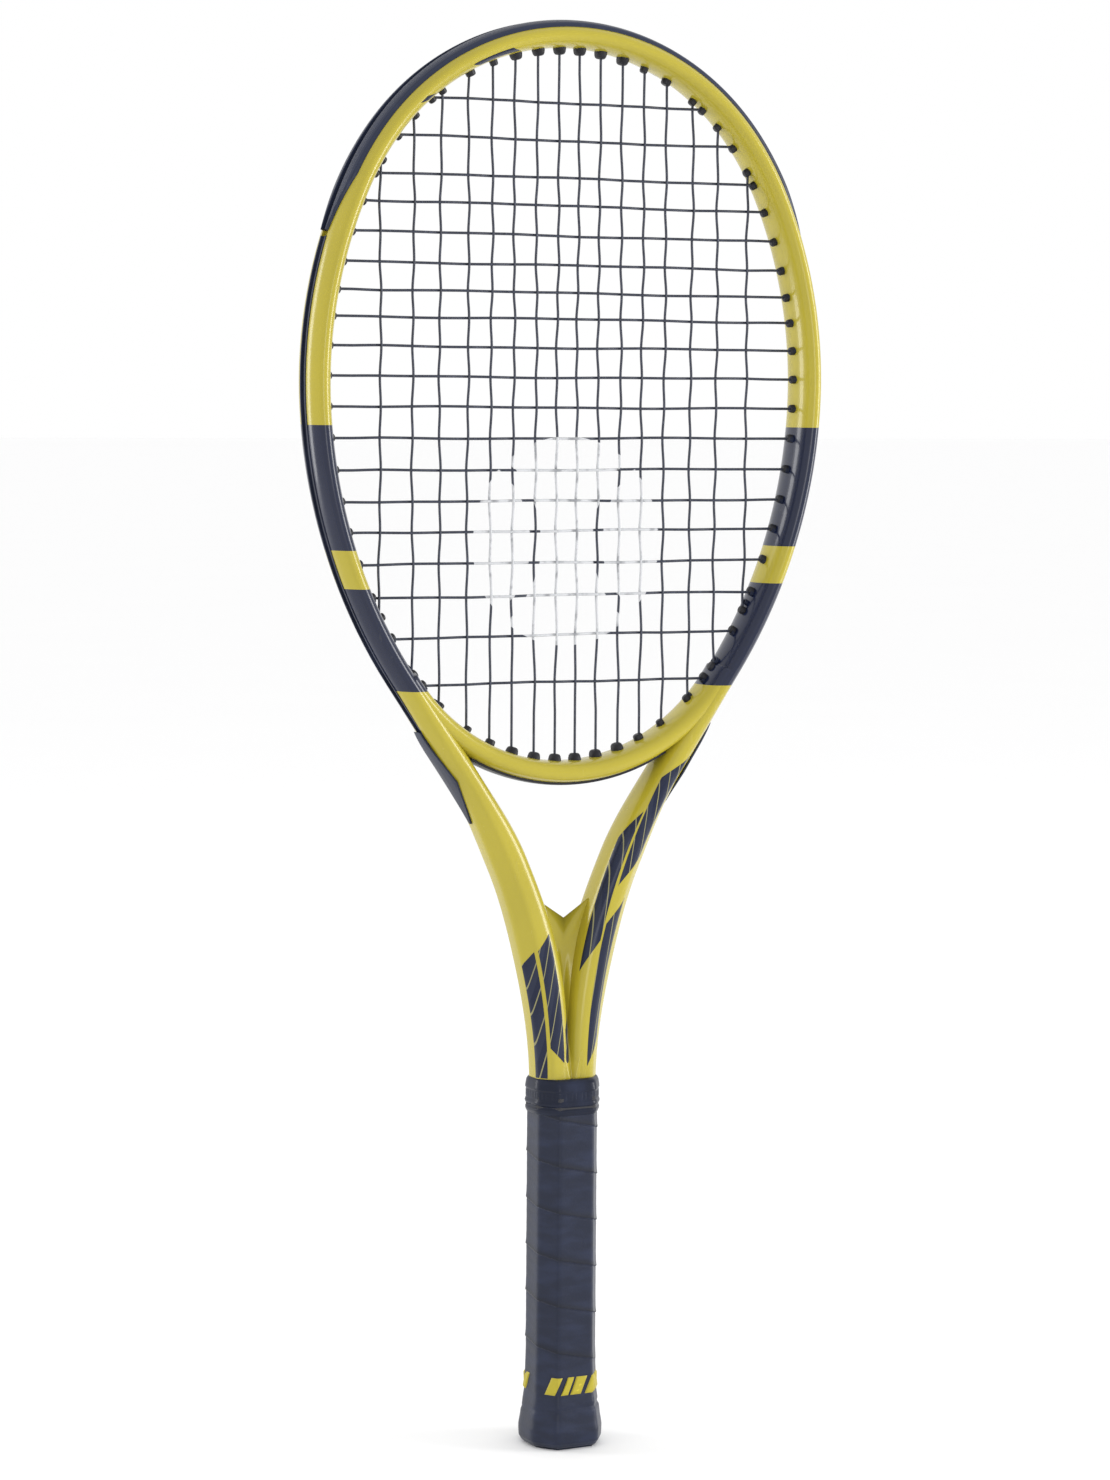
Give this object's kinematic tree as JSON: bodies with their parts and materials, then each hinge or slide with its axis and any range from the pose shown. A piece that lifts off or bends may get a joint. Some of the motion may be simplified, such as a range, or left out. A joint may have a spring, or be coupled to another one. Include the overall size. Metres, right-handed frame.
{
  "type": "tennis racket",
  "caption": "Yellow and navy tennis racket with woven dark strings, open throat and wrapped octagonal handle, standing on its butt end.",
  "frame": {"origin": "middle of the butt end's lowest plane, where the racket stands", "axes": "+Z along the handle to the tip of the head, +X across the strings, -Y out of the front face; the head is symmetric left to right about the X = 0 plane apart from its string ends"},
  "size_m": [0.2752, 0.0384, 0.6849],
  "materials": {
    "frame_lacquer": "gloss lacquer over composite, lemon yellow with navy blocks",
    "guard_plastic": "textured dark slate nylon",
    "grommet_plastic": "smooth black nylon",
    "pad_rubber": "soft black rubber",
    "string": "smooth dark grey polyester string",
    "handle_foam": "moulded polyurethane foam",
    "cap_plastic": "moulded nylon",
    "staple_steel": "galvanised wire",
    "grip_wrap": "satin navy synthetic grip wrap",
    "finishing_tape": "woven adhesive tape",
    "collar_rubber": "glossy elastic band",
    "band_print": "raised lemon yellow bars"
  },
  "bodies": {
    "root": {"frame_tube": "frame_lacquer", "throat_bridge": "frame_lacquer", "bumper_guard": "guard_plastic", "grommet_strip_left": "grommet_plastic", "grommet_strip_right": "grommet_plastic", "throat_grommet_strip": "grommet_plastic", "head_pad_strip": "pad_rubber", "throat_pad_strip": "pad_rubber", "main_string": "string", "cross_string": "string", "handle_foam": "handle_foam", "tube_end_plugs": "handle_foam", "butt_cap": "cap_plastic", "butt_cap_plug": "cap_plastic", "butt_cap_staples": "staple_steel", "grip_tack": "staple_steel", "base_grip": "grip_wrap", "grip_finishing_tape": "finishing_tape", "grip_collar": "collar_rubber", "grip_band": "band_print"}
  },
  "joints": []
}
